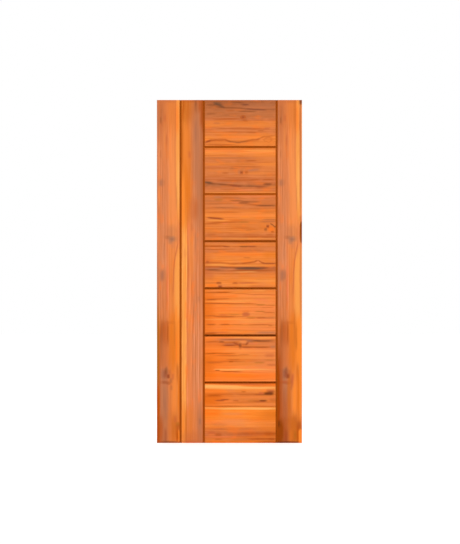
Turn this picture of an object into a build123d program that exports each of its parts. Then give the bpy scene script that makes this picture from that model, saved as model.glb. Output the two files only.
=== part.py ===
"""Exterior door leaf of solid teak: three full-height stiles with a ladder of horizontal boards.

Seen from outside, a wide pair of stiles runs down the left side and a single stile down the right.
Between them the top rail, five equal boards and a two-piece bottom rail lie one above the other.
Every joint is a V-joint: bevelled arrises each side of a narrow open channel, closed at its foot
by a tongue. Rails are tenoned into the stiles, boards are tongued into them at their ends, and loose
tongues join board to board and stile to stile.

Millimetres. X runs across the leaf to the right, Y through it from outside to inside, Z up.
The origin is the foot of the hinge edge (the right edge), at the middle of the leaf's thickness.
"""

import os

from build123d import *

# Overall size of the leaf
leaf_height = 1981.0
leaf_width = 838.0
leaf_thickness = 44.0

# Widths of the upright stiles, outer edge or joint line to joint line
left_stile_width = 137.0
middle_stile_width = 134.0
right_stile_width = 146.0

# Horizontal members, joint line to joint line; the boards share what the rails leave of the height
top_rail_height = 272.0
board_count = 5
bottom_rail_upper_height = 138.0
bottom_rail_lower_height = 211.0

# V-joints between neighbouring members
joint_channel = 2.0
joint_bevel = 6.5
glue_joint_bevel = 1.5

# Tongues, grooves and tenons
tongue_thickness = 14.0
groove_depth = 14.0
tenon_length = 85.0
tenon_height = 80.0
tenon_edge_margin = 32.0
glue_clearance = 0.2
tenon_end_clearance = 2.0

# Rounding of the two outer long edges
outer_arris_radius = 2.0

# Places worked out from the sizes above
half_channel = joint_channel / 2
groove_width = tongue_thickness + 2 * glue_clearance
hinge_edge_x = 0.0
lock_edge_x = hinge_edge_x - leaf_width
stile_joint_x = lock_edge_x + left_stile_width
board_left_x = stile_joint_x + middle_stile_width
board_right_x = hinge_edge_x - right_stile_width
top_rail_foot_z = leaf_height - top_rail_height
bottom_rail_glue_z = bottom_rail_lower_height
bottom_rail_top_z = bottom_rail_glue_z + bottom_rail_upper_height
board_height = (top_rail_foot_z - bottom_rail_top_z) / board_count
tongue_reach = half_channel + groove_depth - glue_clearance
tenon_reach = half_channel + tenon_length


def box_between(low, high):
    """A box from its lowest corner to its highest corner."""
    size = [b - a for a, b in zip(low, high)]
    return Pos(*low) * Box(*size, align=(Align.MIN, Align.MIN, Align.MIN))


def stile_section(low_x, high_x, joint_at_low, joint_at_high):
    """Plan section of a stile: bevelled and grooved where it meets a joint, rounded where it doesn't."""
    section = Pos((low_x + high_x) / 2, 0) * Rectangle(high_x - low_x, leaf_thickness)
    for is_joint, side in ((joint_at_low, 0), (joint_at_high, -1)):
        corners = section.vertices().group_by(Axis.X)[side]
        if is_joint:
            section = chamfer(corners, joint_bevel)
        else:
            section = fillet(corners, outer_arris_radius)
    for is_joint, edge_x, inward in ((joint_at_low, low_x, 1), (joint_at_high, high_x, -1)):
        if is_joint:
            section -= Pos(edge_x + inward * groove_depth / 2, 0) * Rectangle(groove_depth, groove_width)
    return section


def stile(low_x, high_x, joint_at_low, joint_at_high):
    """A full-height stile."""
    return extrude(stile_section(low_x, high_x, joint_at_low, joint_at_high), leaf_height)


def tenon_spans():
    """Bottom and top of each rail tenon: two on the top rail, one on each half of the bottom rail."""
    upper_tenon_top = leaf_height - tenon_edge_margin
    lower_tenon_foot = top_rail_foot_z + tenon_edge_margin
    upper_half_foot = bottom_rail_glue_z + (bottom_rail_upper_height - tenon_height) / 2
    lower_half_foot = (bottom_rail_glue_z - tenon_height) / 2
    feet = {
        "top_rail": (upper_tenon_top - tenon_height, lower_tenon_foot),
        "bottom_rail_upper": (upper_half_foot,),
        "bottom_rail_lower": (lower_half_foot,),
    }
    return {rail: [(foot, foot + tenon_height) for foot in rail_feet] for rail, rail_feet in feet.items()}


def mortises(joint_x, into):
    """Blind mortises in a stile for all the rail tenons, cut from the joint line at joint_x towards into."""
    depth = tenon_reach + tenon_end_clearance
    low_x, high_x = sorted((joint_x, joint_x + into * depth))
    return [
        box_between(
            (low_x, -groove_width / 2, foot - glue_clearance),
            (high_x, groove_width / 2, top + glue_clearance),
        )
        for spans in tenon_spans().values()
        for foot, top in spans
    ]


def bevelled_board(foot_z, top_z, foot_bevel, top_bevel):
    """A board between its shoulders, its front and back faces bevelled round the edges that have a joint."""
    shoulders = (board_left_x + half_channel, board_right_x - half_channel)
    low = (shoulders[0], -leaf_thickness / 2, foot_z)
    high = (shoulders[1], leaf_thickness / 2, top_z)
    board = box_between(low, high)
    for axis, side, bevel in (
        (Axis.X, 0, joint_bevel),
        (Axis.X, -1, joint_bevel),
        (Axis.Z, 0, foot_bevel),
        (Axis.Z, -1, top_bevel),
    ):
        if bevel:
            for along_y in (0, -1):
                outer_face = board.faces().filter_by(Axis.Y).sort_by(Axis.Y)[along_y]
                board = chamfer(outer_face.edges().sort_by(axis)[side], bevel)
    return board


def end_tongues(foot_z, top_z):
    """The tongues at both ends of a board, which sit in the stiles' grooves."""
    return box_between(
        (board_left_x - tongue_reach, -tongue_thickness / 2, foot_z),
        (board_right_x + tongue_reach, tongue_thickness / 2, top_z),
    )


def edge_groove(edge_z, into):
    """The groove along a board's long edge, cut right through its end tongues."""
    low_z, high_z = sorted((edge_z, edge_z + into * groove_depth))
    return box_between(
        (board_left_x - groove_depth - half_channel, -groove_width / 2, low_z),
        (board_right_x + groove_depth + half_channel, groove_width / 2, high_z),
    )


def board_between(foot_z, top_z):
    """One of the equal boards, with a V-joint along both long edges."""
    foot_edge, top_edge = foot_z + half_channel, top_z - half_channel
    board = bevelled_board(foot_edge, top_edge, joint_bevel, joint_bevel)
    board += end_tongues(foot_edge, top_edge)
    return board - edge_groove(foot_edge, 1) - edge_groove(top_edge, -1)


def rail_tenons(rail):
    """The long tenons of a rail, passing through the rail from end to end."""
    return [
        box_between(
            (board_left_x - tenon_reach, -tongue_thickness / 2, foot),
            (board_right_x + tenon_reach, tongue_thickness / 2, top),
        )
        for foot, top in tenon_spans()[rail]
    ]


def top_rail():
    """The uppermost board: square along the leaf's top, V-jointed along its foot, with twin tenons."""
    foot_edge = top_rail_foot_z + half_channel
    rail = bevelled_board(foot_edge, leaf_height, joint_bevel, 0)
    rail += end_tongues(foot_edge, leaf_height)
    rail -= edge_groove(foot_edge, 1)
    return rail + rail_tenons("top_rail")


def bottom_rail_upper():
    """The narrow upper half of the bottom rail, V-jointed above and glued to the lower half below."""
    top_edge = bottom_rail_top_z - half_channel
    rail = bevelled_board(bottom_rail_glue_z, top_edge, glue_joint_bevel, joint_bevel)
    rail += end_tongues(bottom_rail_glue_z, top_edge)
    rail -= edge_groove(top_edge, -1)
    return rail + rail_tenons("bottom_rail_upper")


def bottom_rail_lower():
    """The deep lower half of the bottom rail, square along the leaf's foot."""
    rail = bevelled_board(0, bottom_rail_glue_z, 0, glue_joint_bevel)
    rail += end_tongues(0, bottom_rail_glue_z)
    return rail + rail_tenons("bottom_rail_lower")


def board_tongue(joint_z):
    """The loose tongue between two boards, housed at both ends in the stiles' grooves."""
    return box_between(
        (board_left_x - tongue_reach, -tongue_thickness / 2, joint_z - tongue_reach),
        (board_right_x + tongue_reach, tongue_thickness / 2, joint_z + tongue_reach),
    )


def stile_tongue():
    """The full-height loose tongue between the left and the middle stile."""
    return box_between(
        (stile_joint_x - tongue_reach, -tongue_thickness / 2, 0),
        (stile_joint_x + tongue_reach, tongue_thickness / 2, leaf_height),
    )


def door_leaf():
    """Every piece of the leaf by name."""
    pieces = {
        "left_stile": stile(lock_edge_x, stile_joint_x - half_channel, False, True),
        "middle_stile": stile(stile_joint_x + half_channel, board_left_x - half_channel, True, True)
        - mortises(board_left_x, -1),
        "right_stile": stile(board_right_x + half_channel, hinge_edge_x, True, False)
        - mortises(board_right_x, 1),
        "stile_tongue": stile_tongue(),
        "top_rail": top_rail(),
        "bottom_rail_upper": bottom_rail_upper(),
        "bottom_rail_lower": bottom_rail_lower(),
    }
    for number in range(1, board_count + 1):
        top_z = top_rail_foot_z - (number - 1) * board_height
        pieces[f"board_{number}"] = board_between(top_z - board_height, top_z)
    for number in range(1, board_count + 2):
        joint_z = top_rail_foot_z - (number - 1) * board_height
        pieces[f"board_tongue_{number}"] = board_tongue(joint_z)
    return pieces


def main():
    os.makedirs("parts", exist_ok=True)
    for name, piece in door_leaf().items():
        export_step(piece, f"parts/{name}.step")


main()
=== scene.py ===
"""Looks of the exterior door leaf: oiled teak, piece by piece, in a plain white studio.

Every piece is solid wood with a colour at each point inside it. The colour is worked out from three
distances in millimetres: along the grain, across the face, and in from the outside face. Boards run
left to right and are measured from their left end and top edge. Stiles run top to bottom and are
measured from their top end and left edge.
"""

import math
from collections import namedtuple

import bpy
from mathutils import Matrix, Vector


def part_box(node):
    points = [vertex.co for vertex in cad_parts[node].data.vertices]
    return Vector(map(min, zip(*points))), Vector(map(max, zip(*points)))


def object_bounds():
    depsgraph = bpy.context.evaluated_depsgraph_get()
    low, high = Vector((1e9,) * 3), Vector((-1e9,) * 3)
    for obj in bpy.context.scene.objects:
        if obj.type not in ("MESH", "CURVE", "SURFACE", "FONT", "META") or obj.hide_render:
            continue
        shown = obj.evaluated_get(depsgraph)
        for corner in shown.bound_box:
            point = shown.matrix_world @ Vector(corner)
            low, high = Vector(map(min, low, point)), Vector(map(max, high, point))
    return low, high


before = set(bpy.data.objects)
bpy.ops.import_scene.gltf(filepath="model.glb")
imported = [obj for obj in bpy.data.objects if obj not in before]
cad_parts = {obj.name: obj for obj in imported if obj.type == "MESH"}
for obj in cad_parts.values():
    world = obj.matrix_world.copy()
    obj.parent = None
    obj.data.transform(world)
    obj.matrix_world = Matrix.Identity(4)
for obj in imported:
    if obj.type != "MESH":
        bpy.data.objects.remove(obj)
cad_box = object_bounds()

MM = 0.001
leaf_low, leaf_high = (Vector(corner) for corner in cad_box)
leaf_centre = (leaf_low + leaf_high) / 2

# Tones of the wood, as sRGB values from 0 to 255
TONES = {
    "pale": (250, 177, 95),
    "gold": (245, 156, 73),
    "peach": (240, 142, 77),
    "amber": (249, 137, 46),
    "apricot": (232, 135, 69),
    "marigold": (248, 135, 62),
    "honey": (236, 133, 56),
    "coral": (236, 123, 73),
    "flame": (253, 121, 29),
    "blush": (227, 130, 75),
    "orange": (222, 122, 53),
    "tangerine": (225, 118, 31),
    "blaze": (227, 107, 19),
    "rose": (213, 126, 77),
    "cinnamon": (210, 117, 60),
    "russet": (200, 109, 58),
    "clay": (195, 96, 54),
    "ochre": (191, 110, 44),
    "sienna": (202, 105, 31),
    "sepia": (189, 108, 60),
    "mauve": (186, 114, 75),
    "rust": (184, 87, 31),
    "brown": (175, 98, 54),
    "moss": (169, 98, 15),
    "cinder": (183, 79, 0),
    "ember": (166, 69, 2),
    "dusk": (162, 102, 75),
    "wine": (152, 67, 35),
    "ash": (146, 108, 89),
    "umber": (137, 72, 36),
    "smoke": (108, 71, 48),
    "plum": (121, 64, 44),
    "bark": (96, 42, 15),
    # Tones of the painted shade down in the V-joints
    "joint_shade": (181, 88, 13),
    "joint_shade_light": (195, 96, 17),
    "joint_shade_deep": (164, 78, 9),
    "joint_shade_dark": (150, 68, 4),
    "joint_shade_darkest": (123, 54, 4),
}

# A soft lens of one tone: a streak, a strip of sapwood or a wide stain. Places and sizes are in
# millimetres. rise is how far its far end lies across from its middle, edge how sharp it is.
Mark = namedtuple(
    "Mark", "tone along across half_length half_width strength rise edge", defaults=(0.0, 2.0)
)
# A dark core with a ring and a faint halo round it, in millimetres too.
Knot = namedtuple("Knot", "along across half_length half_width strength core rim")
# The wood of one piece. A band is its place across the face in millimetres, and its tone.
Wood = namedtuple("Wood", "seed bands marks knots", defaults=((),))
# Smooth noise: what it adds to the wood's seed, and the length and width of its features in millimetres.
Noise = namedtuple("Noise", "seed length width detail roughness", defaults=(2.0, 0.5))
TRAIL_OVERLAP = 1.25


def trail(tone, half_width, strength, *points):
    """A winding line through points of (along, across), as a chain of marks that overlap a little."""
    chain = []
    for (start, start_across), (finish, finish_across) in zip(points, points[1:]):
        half_length = (finish - start) / 2 * TRAIL_OVERLAP
        rise = (finish_across - start_across) / 2 * TRAIL_OVERLAP
        middle = (start + finish) / 2
        middle_across = (start_across + finish_across) / 2
        chain.append(Mark(tone, middle, middle_across, half_length, half_width, strength, rise))
    return chain


# Figure of each piece: its bands from edge to edge, and its marks in the order they are laid
TOP_RAIL_BANDS = [
    (0, "brown"), (20, "brown"), (62, "sepia"), (90, "sepia"), (114, "russet"), (124, "orange"),
    (150, "orange"), (165, "cinnamon"), (182, "cinnamon"), (202, "orange"), (216, "honey"),
    (230, "honey"), (242, "orange"), (272, "honey"),
]
TOP_RAIL_MARKS = [
    Mark("brown", 200, 38, 260, 30, 0.5),
    Mark("umber", 190, 14, 230, 10, 0.3),
    Mark("mauve", 320, 40, 110, 22, 0.5),
    Mark("rust", 150, 4, 190, 5, 0.4),
    Mark("umber", 42, 29, 28, 6, 0.6, rise=2),
    Mark("smoke", 82, 26, 24, 9, 0.9, rise=5),
    Mark("smoke", 105, 39, 18, 6, 0.75, rise=4),
    Mark("umber", 193, 13, 32, 4.5, 0.7, rise=2),
    Mark("smoke", 78, 17, 20, 7, 0.5),
    Mark("umber", 90, 38, 20, 6, 0.5),
    Mark("brown", 98, 57, 45, 6, 0.6),
    Mark("plum", 240, 26, 22, 5.5, 0.75),
    *trail("umber", 4, 0.65, (100, 44), (170, 46), (250, 51)),
    *trail("plum", 4.2, 0.8, (245, 51), (300, 54), (352, 55)),
    Mark("umber", 385, 54, 36, 4, 0.5),
    Mark("umber", 250, 66, 48, 3.5, 0.8),
    Mark("rust", 152, 62, 22, 6, 0.55),
    Mark("umber", 40, 79, 28, 5, 0.5),
    Mark("brown", 125, 88, 22, 5, 0.5),
    Mark("rust", 145, 110, 75, 4, 0.7, rise=-2),
    Mark("brown", 232, 105, 26, 12, 0.5),
    Mark("rust", 238, 119, 14, 5, 0.6, rise=3),
    Mark("honey", 55, 146, 60, 8, 0.4),
    Mark("honey", 345, 139, 60, 9, 0.5),
    Mark("russet", 76, 134, 18, 6, 0.7),
    *trail("rust", 4, 0.7, (92, 166), (200, 164), (335, 166)),
    Mark("rust", 278, 187, 28, 4, 0.7),
    Mark("rust", 195, 185, 65, 3.5, 0.4),
    Mark("rust", 330, 177, 20, 4, 0.6),
    Mark("clay", 366, 165, 16, 5, 0.6),
    Mark("flame", 200, 213, 120, 9, 0.4),
    Mark("russet", 30, 172, 32, 6, 0.7),
    *trail("wine", 5.5, 0.9, (12, 243), (42, 235)),
    *trail("rust", 5.5, 0.85, (36, 235), (72, 231), (122, 229), (150, 238)),
    *trail("umber", 4.5, 0.7, (148, 238), (200, 244), (250, 238)),
    *trail("rust", 5, 0.8, (245, 237), (282, 231), (318, 229)),
    *trail("rust", 4, 0.6, (308, 228), (345, 213), (405, 207)),
    Mark("rust", 95, 259, 95, 4, 0.75),
    Mark("honey", 358, 249, 70, 12, 0.8),
]
TOP_RAIL_KNOTS = [
    Knot(227, 98, 12, 9, 0.9, "wine", "rust"),
    Knot(372, 230, 20, 16, 0.3, "orange", "rust"),
]

BOARD_1_BANDS = [
    (0, "orange"), (10, "orange"), (22, "marigold"), (36, "honey"), (50, "orange"),
    (62, "cinnamon"), (80, "cinnamon"), (95, "orange"), (112, "cinnamon"), (146, "cinnamon"),
    (165, "cinnamon"), (182, "russet"), (202, "russet"), (218, "brown"), (234, "russet"),
    (250, "cinnamon"), (272, "orange"),
]
BOARD_1_MARKS = [
    Mark("honey", 420, 80, 130, 70, 0.4),
    Mark("gold", 325, 20, 85, 6, 0.7),
    Mark("amber", 60, 25, 55, 5, 0.4),
    Mark("brown", 150, 61, 140, 4.5, 0.5),
    Mark("blush", 145, 72, 50, 3.5, 0.5),
    Mark("rust", 274, 78, 28, 3.5, 0.7),
    Mark("rust", 345, 87, 60, 3.5, 0.35),
    Mark("honey", 368, 98, 52, 7, 0.7),
    Mark("honey", 55, 100, 40, 5, 0.5),
    Mark("rust", 240, 112, 95, 4, 0.65),
    Mark("clay", 60, 113, 52, 5, 0.4),
    Mark("brown", 172, 124, 26, 4, 0.5),
    Mark("mauve", 285, 131, 34, 7, 0.8, rise=-3),
    Mark("honey", 85, 136, 65, 3.5, 0.5),
    Mark("mauve", 207, 146, 9, 11, 0.6),
    Mark("wine", 219, 145, 9, 9, 0.85),
    Mark("rust", 247, 144, 10, 9, 0.75),
    Mark("honey", 310, 150, 62, 8, 0.5),
    Mark("rust", 126, 148, 16, 4.5, 0.65),
    Mark("rose", 158, 155, 20, 6, 0.5),
    Mark("rust", 75, 165, 55, 3.5, 0.4),
    Mark("rust", 190, 176, 65, 4, 0.4),
    *trail("rust", 4.5, 0.65, (88, 193), (180, 191), (272, 190), (315, 185)),
    Mark("rust", 372, 187, 28, 4, 0.9),
    Mark("mauve", 130, 206, 85, 5, 0.5),
    Mark("smoke", 28, 205, 26, 7.5, 0.95, rise=4),
    *trail("umber", 5, 0.75, (44, 210), (110, 215), (170, 219)),
    Mark("wine", 187, 222, 32, 5.5, 0.85, rise=2),
    *trail("umber", 4.4, 0.65, (203, 223), (270, 225), (348, 227)),
    Mark("wine", 322, 228, 24, 5, 0.4),
    Mark("umber", 369, 213, 26, 6.5, 0.75, edge=3.0),
    Mark("coral", 240, 247, 42, 6, 0.5),
    Mark("orange", 402, 228, 22, 8, 0.7),
    Mark("rust", 120, 257, 135, 3, 0.4),
    Mark("gold", 210, 262, 220, 3, 0.6),
]

BOARD_2_BANDS = [
    (0, "cinnamon"), (24, "cinnamon"), (42, "cinnamon"), (60, "cinnamon"), (76, "cinnamon"),
    (94, "orange"), (112, "honey"), (130, "honey"), (146, "orange"), (215, "orange"),
    (232, "cinnamon"), (250, "cinnamon"), (272, "orange"),
]
BOARD_2_MARKS = [
    Mark("mauve", 85, 17, 24, 7, 0.6),
    Mark("ochre", 85, 30, 24, 5.5, 0.9),
    Mark("coral", 310, 13, 110, 5, 0.5),
    Mark("rust", 155, 17, 55, 4, 0.5),
    Mark("mauve", 192, 22, 20, 5, 0.5),
    Mark("rose", 310, 31, 100, 5, 0.5),
    Mark("brown", 45, 38, 55, 4, 0.55),
    *trail("umber", 3.5, 0.65, (158, 36), (215, 38), (255, 42), (312, 42)),
    Mark("coral", 185, 49, 22, 5, 0.4),
    Mark("umber", 232, 49, 29, 7.5, 0.7),
    Mark("brown", 60, 55, 65, 4, 0.4),
    *trail("rust", 4, 0.65, (252, 57), (312, 62)),
    Mark("umber", 358, 65, 60, 5.5, 0.9),
    Mark("brown", 120, 77, 70, 5, 0.6),
    Mark("rust", 110, 104, 105, 5, 0.6),
    Mark("rust", 372, 105, 42, 4, 0.4),
    Mark("marigold", 250, 122, 165, 11, 0.6),
    Mark("amber", 240, 130, 30, 6, 0.6),
    Mark("honey", 62, 122, 60, 6, 0.5),
    Mark("wine", 68, 138, 48, 5.5, 0.9, rise=4, edge=3.0),
    Mark("gold", 85, 151, 66, 5, 0.7),
    Mark("rust", 95, 163, 72, 3.8, 0.8, rise=-3),
    Mark("rust", 45, 170, 48, 3.5, 0.6),
    Mark("coral", 125, 168, 18, 4, 0.5),
    Mark("rust", 175, 160, 28, 4, 0.4),
    Mark("ochre", 232, 159, 28, 4.5, 0.9),
    Mark("brown", 382, 146, 38, 4, 0.7),
    Mark("brown", 376, 158, 44, 4, 0.7),
    Mark("flame", 390, 203, 16, 13, 0.7),
    Mark("wine", 370, 184, 8, 8, 0.95),
    Mark("umber", 358, 202, 8, 9, 0.7),
    *trail("umber", 4, 0.85, (386, 170), (399, 176), (409, 186), (420, 188)),
    Mark("rust", 398, 217, 9, 5, 0.85),
    Mark("rust", 215, 191, 52, 4, 0.35, rise=2),
    Mark("rust", 280, 203, 28, 3, 0.3),
    Mark("ochre", 262, 210, 15, 3, 0.5),
    Mark("rust", 40, 232, 32, 6, 0.5),
    Mark("rust", 270, 232, 45, 5, 0.4),
    Mark("rust", 382, 232, 22, 4, 0.5),
    Mark("rust", 210, 243, 230, 4.5, 0.5),
    Mark("rust", 275, 245, 42, 4, 0.5),
    Mark("rust", 375, 246, 42, 4, 0.6),
    Mark("gold", 265, 256, 170, 4, 0.5),
]

BOARD_3_BANDS = [
    (0, "cinnamon"), (22, "orange"), (40, "cinnamon"), (58, "cinnamon"), (72, "honey"),
    (96, "honey"), (112, "honey"), (128, "orange"), (138, "honey"), (147, "russet"),
    (166, "russet"), (178, "cinnamon"), (195, "orange"), (214, "honey"), (250, "honey"),
    (272, "orange"),
]
BOARD_3_MARKS = [
    Mark("clay", 0, 110, 50, 60, 0.4),
    Mark("flame", 270, 15, 70, 5, 0.5),
    Mark("brown", 215, 8, 55, 4, 0.5),
    Mark("rust", 65, 28, 60, 5, 0.95),
    Mark("ember", 10, 27, 16, 6, 0.5),
    Mark("wine", 133, 31, 24, 3.6, 0.85, rise=1.5),
    Mark("rust", 186, 31, 28, 3.2, 0.7),
    Mark("bark", 232, 30.5, 25, 4.2, 0.65, edge=3.0),
    Mark("wine", 278, 30, 26, 3.8, 0.9),
    Mark("rust", 352, 32, 62, 3, 0.35),
    Mark("peach", 110, 37, 105, 2.5, 0.5),
    Mark("rust", 75, 47, 62, 4, 0.5),
    Mark("flame", 220, 74, 160, 12, 0.5),
    Mark("tangerine", 392, 78, 45, 22, 0.7),
    Mark("rust", 250, 94, 19, 3.2, 0.6),
    Mark("rust", 58, 121, 54, 5, 0.75),
    Mark("wine", 22, 119, 9, 6, 0.55),
    *trail("rust", 4, 0.55, (108, 125), (170, 129), (232, 128)),
    *trail("rust", 4.2, 0.95, (228, 127), (267, 122.5), (294, 118), (307, 112)),
    Mark("rust", 314, 111, 12, 4, 0.5),
    *trail("rust", 4, 0.95, (321, 115), (334, 121), (349, 126)),
    Mark("peach", 314, 122, 14, 4, 0.4),
    Mark("wine", 380, 127, 38, 4.5, 0.9),
    Mark("gold", 75, 135, 66, 4.5, 0.8),
    Mark("gold", 250, 138, 150, 4, 0.4),
    Mark("rust", 52, 146, 56, 5, 0.9),
    Mark("umber", 130, 150, 42, 5, 0.75),
    Mark("mauve", 90, 156, 76, 4.5, 0.7),
    Mark("umber", 186, 150, 32, 4, 0.55),
    Mark("rose", 168, 160, 28, 4, 0.7),
    Mark("smoke", 264, 155, 90, 8.5, 0.95, edge=3.0),
    Mark("umber", 354, 153, 24, 4.8, 0.8),
    Mark("brown", 388, 156, 32, 5, 0.6),
    Mark("umber", 50, 163, 38, 5, 0.9),
    Mark("brown", 95, 168, 32, 6, 0.6),
    Mark("ember", 285, 168, 125, 4.8, 0.7),
    Mark("pale", 250, 175, 62, 3, 0.5),
    Mark("clay", 28, 200, 32, 26, 0.4),
    Mark("gold", 320, 227, 110, 8, 0.5),
    Mark("rust", 52, 241, 42, 4, 0.6),
    Mark("wine", 88, 241, 13, 6.5, 0.85),
    Mark("rust", 182, 240, 15, 5.5, 0.85),
    Mark("clay", 245, 240, 72, 4, 0.75),
    Mark("gold", 235, 257, 42, 5, 0.5),
    Mark("flame", 45, 254, 36, 8, 0.8),
    Mark("wine", 95, 262, 12, 8, 0.95),
    Mark("russet", 300, 259, 62, 4, 0.5),
]

BOARD_4_BANDS = [
    (0, "orange"), (23, "honey"), (41, "marigold"), (58, "honey"), (75, "marigold"), (92, "honey"),
    (110, "marigold"), (128, "marigold"), (144, "honey"), (162, "honey"), (178, "marigold"),
    (198, "marigold"), (212, "honey"), (231, "marigold"), (250, "honey"), (272, "orange"),
]
BOARD_4_MARKS = [
    Mark("flame", 40, 140, 115, 200, 0.4),
    Mark("blaze", 0, 120, 60, 150, 0.75),
    Mark("blush", 400, 150, 140, 160, 0.4),
    Mark("peach", 66, 13, 50, 3.5, 0.6),
    Mark("rust", 85, 22, 80, 4.8, 0.85),
    Mark("ember", 115, 23, 36, 3.5, 0.5),
    Mark("rust", 212, 29, 52, 3.2, 0.5),
    Mark("rust", 338, 35, 82, 3.8, 0.6),
    Mark("gold", 325, 12, 32, 4, 0.5),
    Mark("gold", 330, 47, 110, 6, 0.3),
    Mark("rust", 45, 64, 34, 5, 0.95),
    Mark("rust", 106, 60, 46, 4, 0.65, rise=-2),
    Mark("gold", 165, 74, 155, 5, 0.7),
    Mark("coral", 330, 64, 36, 7, 0.5),
    *trail("rust", 3.8, 0.95, (2, 86), (160, 86)),
    *trail("rust", 3.5, 0.6, (150, 86), (252, 87), (304, 90)),
    Mark("rust", 195, 86, 62, 3, 0.4),
    Mark("ochre", 330, 94, 25, 4.2, 0.9),
    Mark("rust", 386, 97, 32, 3.2, 0.5),
    Mark("rust", 366, 110, 32, 3.2, 0.4),
    Mark("ochre", 325, 133, 27, 3.8, 0.9),
    Mark("rust", 380, 139, 38, 3.6, 0.7),
    Mark("ochre", 175, 150, 34, 4, 0.6),
    Mark("clay", 114, 153, 28, 5, 0.5),
    Mark("clay", 244, 149, 20, 14, 0.95),
    Mark("rust", 40, 157, 34, 4.2, 0.65),
    *trail("rust", 4.2, 0.9, (68, 161), (120, 163), (172, 162)),
    Mark("rust", 200, 163, 32, 3.5, 0.45),
    Mark("ochre", 276, 168, 24, 5, 0.8),
    Mark("rust", 330, 168, 27, 4.2, 0.9),
    Mark("brown", 380, 169, 36, 5, 0.6),
    Mark("gold", 150, 178, 125, 5, 0.6),
    Mark("gold", 320, 190, 110, 8, 0.5),
    Mark("rust", 42, 207, 26, 4.2, 0.9),
    Mark("rust", 122, 207, 30, 4.2, 0.9),
    Mark("rust", 192, 207, 42, 3.2, 0.45),
    Mark("rust", 325, 208, 76, 3.8, 0.7),
    Mark("rust", 386, 215, 13, 4, 0.5),
    Mark("clay", 90, 254, 60, 6, 0.5),
    Mark("ember", 35, 258, 38, 5, 0.75),
    Mark("mauve", 365, 254, 62, 8, 0.75),
]

BOARD_5_BANDS = [
    (0, "honey"), (12, "marigold"), (26, "orange"), (46, "cinnamon"), (62, "orange"),
    (76, "marigold"), (94, "marigold"), (106, "honey"), (130, "honey"), (150, "orange"),
    (166, "honey"), (184, "marigold"), (205, "marigold"), (225, "flame"), (272, "marigold"),
]
BOARD_5_MARKS = [
    Mark("flame", 30, 150, 130, 200, 0.6),
    Mark("blaze", 0, 170, 65, 80, 0.75),
    Mark("blush", 420, 130, 130, 120, 0.5),
    Mark("gold", 216, 13, 46, 4, 0.7),
    Mark("gold", 340, 13, 72, 4.5, 0.8),
    Mark("mauve", 165, 23, 98, 9, 0.75),
    Mark("wine", 178, 23, 78, 3.8, 0.6),
    Mark("rose", 150, 29, 46, 3, 0.6),
    Mark("dusk", 266, 31, 22, 7.5, 0.75),
    Mark("umber", 338, 29.5, 76, 6.5, 0.85),
    Mark("smoke", 306, 29, 24, 4, 0.5),
    Mark("rust", 55, 36, 48, 4.8, 0.7),
    Mark("umber", 105, 36, 16, 5, 0.7),
    Mark("rust", 155, 42, 48, 4.2, 0.85),
    Mark("mauve", 150, 49, 34, 3.2, 0.6),
    Mark("wine", 150, 56, 44, 4.8, 0.8),
    Mark("wine", 193, 50, 22, 7, 0.7, rise=9),
    Mark("peach", 226, 37, 22, 5.5, 0.9),
    Mark("umber", 211, 58, 8, 14, 0.85),
    Mark("rust", 236, 52, 15, 4, 0.7),
    Mark("wine", 251, 46, 8, 6, 0.85, rise=-4),
    Mark("coral", 288, 46, 28, 4, 0.6),
    Mark("rust", 310, 65, 102, 4.8, 0.9),
    Mark("umber", 332, 65, 42, 4, 0.35),
    Mark("wine", 242, 67, 32, 5, 0.6),
    Mark("mauve", 400, 64, 18, 9, 0.7),
    Mark("gold", 260, 88, 170, 6, 0.4),
    *trail("ember", 4.2, 0.65, (10, 104), (60, 103), (168, 103)),
    Mark("rust", 140, 115, 68, 3.8, 0.6),
    Mark("rust", 232, 110, 30, 3.6, 0.5),
    Mark("clay", 382, 115, 26, 10, 0.6),
    Mark("ember", 172, 138, 36, 3.2, 0.45),
    Mark("rust", 60, 155, 48, 7, 0.6),
    Mark("rust", 155, 149, 58, 4.5, 0.5),
    Mark("ember", 158, 150, 12, 4, 0.6),
    Mark("ochre", 322, 155, 27, 5, 0.8),
    Mark("ochre", 378, 141, 32, 4, 0.6),
    Mark("clay", 394, 168, 27, 6, 0.6),
    Mark("pale", 160, 196, 72, 4.4, 0.9),
    Mark("pale", 290, 195, 115, 3.8, 0.6),
    Mark("pale", 85, 195, 24, 3.2, 0.5),
    Mark("rust", 80, 201, 13, 3.4, 0.95),
    Mark("rust", 155, 207, 54, 3.4, 1.0),
]

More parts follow.
